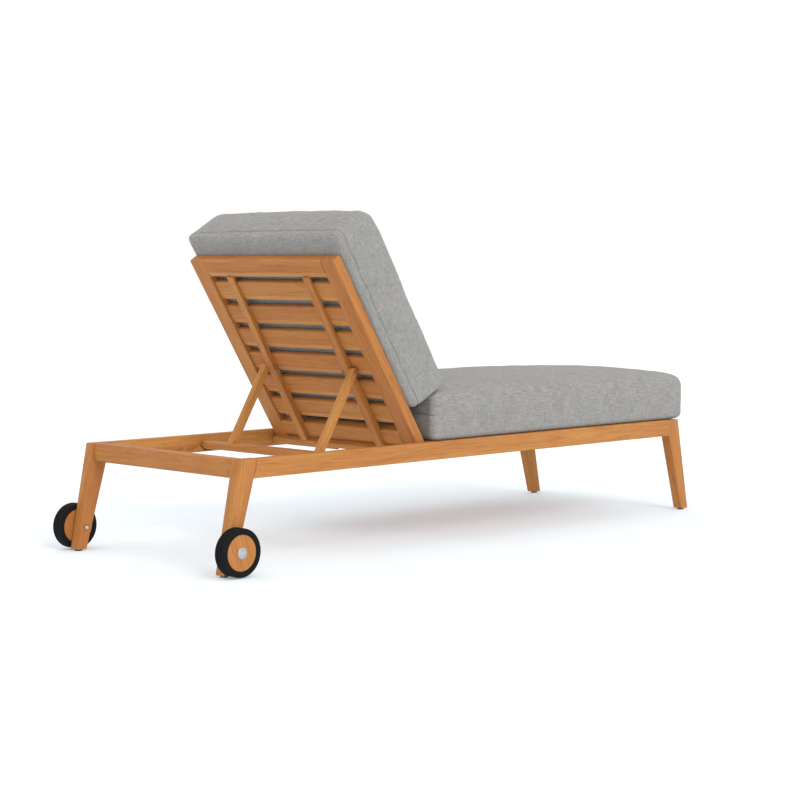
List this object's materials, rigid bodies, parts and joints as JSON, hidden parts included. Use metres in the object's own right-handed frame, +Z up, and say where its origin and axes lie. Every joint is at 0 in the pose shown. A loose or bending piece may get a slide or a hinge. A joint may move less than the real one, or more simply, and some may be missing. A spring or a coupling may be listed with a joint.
{
  "type": "chaise lounger",
  "caption": "Wooden sun lounger with a slatted reclining back on a prop and notched racks, wheels at the head end and two boxed cushions.",
  "frame": {"origin": "on the floor, under the centre of the whole piece's box", "axes": "+Z up, +Y towards the head end with the wheels, +X to the left of someone lying on it"},
  "size_m": [0.8054, 2.1426, 1.0274],
  "materials": {
    "wood": "oiled hardwood",
    "tyre": "matt solid rubber",
    "steel": "satin stainless steel",
    "fabric": "light grey heathered outdoor weave over foam",
    "black_plastic": "black nylon"
  },
  "bodies": {
    "base": {"axle_bolts": "steel", "axle_nuts": "steel", "foot_glides": "black_plastic", "foot_rail": "wood", "head_rail": "wood", "hinge_pin_left": "steel", "hinge_pin_right": "steel", "leg_foot_left": "wood", "leg_foot_right": "wood", "leg_head_left": "wood", "leg_head_right": "wood", "rack_left": "wood", "rack_right": "wood", "rack_screws": "steel", "seat_cushion": "fabric", "seat_rail": "wood", "seat_screws": "steel", "seat_slat_01": "wood", "seat_slat_02": "wood", "seat_slat_03": "wood", "seat_slat_04": "wood", "seat_slat_05": "wood", "seat_slat_06": "wood", "seat_slat_07": "wood", "seat_slat_08": "wood", "seat_slat_09": "wood", "seat_slat_10": "wood", "seat_slat_11": "wood", "seat_slat_12": "wood", "side_rail_left": "wood", "side_rail_right": "wood", "slat_cleat_left": "wood", "slat_cleat_right": "wood"},
    "backrest": {"back_bottom_rail": "wood", "back_cushion": "fabric", "back_ledger": "wood", "back_screws": "steel", "back_slat_1": "wood", "back_slat_2": "wood", "back_slat_3": "wood", "back_slat_4": "wood", "back_slat_5": "wood", "back_slat_6": "wood", "back_top_rail": "wood", "batten_left": "wood", "batten_right": "wood", "prop_bolts": "steel", "prop_nuts": "steel", "stile_left": "wood", "stile_right": "wood"},
    "prop": {"prop_crossbar": "wood", "prop_strut_left": "wood", "prop_strut_right": "wood"},
    "wheel_left_body": {"tyre_left": "tyre", "wheel_bush_left": "black_plastic", "wheel_disc_left": "wood"},
    "wheel_right_body": {"tyre_right": "tyre", "wheel_bush_right": "black_plastic", "wheel_disc_right": "wood"}
  },
  "joints": [
    {"name": "backrest_recline", "type": "hinge", "parent": "base", "child": "backrest", "pos_m": [0, 0.22985, 0.3035], "axis": [1, 0, 0], "range_deg": [-57.7, 0]},
    {"name": "prop_swing", "type": "hinge", "parent": "backrest", "child": "prop", "pos_m": [0, 0.39849, 0.53423], "axis": [1, 0, 0], "range_deg": [0, 114]},
    {"name": "wheel_left_spin", "type": "hinge", "parent": "base", "child": "wheel_left_body", "pos_m": [0.3799, 1.00338, 0.0703], "axis": [1, 0, 0], "continuous": true},
    {"name": "wheel_right_spin", "type": "hinge", "parent": "base", "child": "wheel_right_body", "pos_m": [-0.3799, 1.00338, 0.0703], "axis": [1, 0, 0], "continuous": true}
  ],
  "couplings": [
    {"joint": "prop_swing", "follows": "backrest_recline", "ratio": -1.948}
  ]
}
